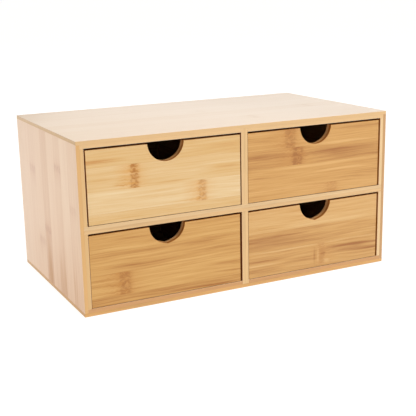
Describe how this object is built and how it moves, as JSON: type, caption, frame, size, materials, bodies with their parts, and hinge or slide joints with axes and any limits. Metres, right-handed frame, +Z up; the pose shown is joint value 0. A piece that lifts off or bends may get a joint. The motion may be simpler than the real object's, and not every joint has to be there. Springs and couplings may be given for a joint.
{
  "type": "desk organizer",
  "caption": "Small bamboo desktop cabinet: a box split by a shelf and an upright board, with drawers that pull out by finger notches.",
  "frame": {"origin": "middle of the underside, on the surface the cabinet stands on", "axes": "+X to the right as the drawers are faced, along the width; +Y to the back; +Z up; the drawers open towards -Y"},
  "size_m": [0.33, 0.19, 0.16],
  "materials": {
    "top_bamboo": "satin clear lacquer on laminated bamboo",
    "bottom_bamboo": "satin clear lacquer on laminated bamboo",
    "side_bamboo": "satin clear lacquer on laminated bamboo",
    "shelf_bamboo": "satin clear lacquer on laminated bamboo",
    "divider_bamboo": "satin clear lacquer on laminated bamboo",
    "back_bamboo": "satin clear lacquer on laminated bamboo",
    "upper_left_front_bamboo": "satin clear lacquer on laminated bamboo",
    "upper_right_front_bamboo": "satin clear lacquer on laminated bamboo",
    "lower_left_front_bamboo": "satin clear lacquer on laminated bamboo",
    "lower_right_front_bamboo": "satin clear lacquer on laminated bamboo",
    "drawer_wall_bamboo": "satin clear lacquer on laminated bamboo",
    "drawer_bottom_bamboo": "satin clear lacquer on laminated bamboo"
  },
  "bodies": {
    "cabinet": {"top_panel": "top_bamboo", "bottom_panel": "bottom_bamboo", "left_side_panel": "side_bamboo", "right_side_panel": "side_bamboo", "shelf": "shelf_bamboo", "divider": "divider_bamboo", "back_panel": "back_bamboo"},
    "upper_left_drawer": {"upper_left_drawer_front": "upper_left_front_bamboo", "upper_left_drawer_left_side": "drawer_wall_bamboo", "upper_left_drawer_right_side": "drawer_wall_bamboo", "upper_left_drawer_back": "drawer_wall_bamboo", "upper_left_drawer_bottom": "drawer_bottom_bamboo"},
    "upper_right_drawer": {"upper_right_drawer_front": "upper_right_front_bamboo", "upper_right_drawer_left_side": "drawer_wall_bamboo", "upper_right_drawer_right_side": "drawer_wall_bamboo", "upper_right_drawer_back": "drawer_wall_bamboo", "upper_right_drawer_bottom": "drawer_bottom_bamboo"},
    "lower_left_drawer": {"lower_left_drawer_front": "lower_left_front_bamboo", "lower_left_drawer_left_side": "drawer_wall_bamboo", "lower_left_drawer_right_side": "drawer_wall_bamboo", "lower_left_drawer_back": "drawer_wall_bamboo", "lower_left_drawer_bottom": "drawer_bottom_bamboo"},
    "lower_right_drawer": {"lower_right_drawer_front": "lower_right_front_bamboo", "lower_right_drawer_left_side": "drawer_wall_bamboo", "lower_right_drawer_right_side": "drawer_wall_bamboo", "lower_right_drawer_back": "drawer_wall_bamboo", "lower_right_drawer_bottom": "drawer_bottom_bamboo"}
  },
  "joints": [
    {"name": "upper_left_drawer_slide", "type": "slide", "parent": "cabinet", "child": "upper_left_drawer", "axis": [0, -1, 0], "range_m": [0, 0.15]},
    {"name": "upper_right_drawer_slide", "type": "slide", "parent": "cabinet", "child": "upper_right_drawer", "axis": [0, -1, 0], "range_m": [0, 0.15]},
    {"name": "lower_left_drawer_slide", "type": "slide", "parent": "cabinet", "child": "lower_left_drawer", "axis": [0, -1, 0], "range_m": [0, 0.15]},
    {"name": "lower_right_drawer_slide", "type": "slide", "parent": "cabinet", "child": "lower_right_drawer", "axis": [0, -1, 0], "range_m": [0, 0.15]}
  ]
}
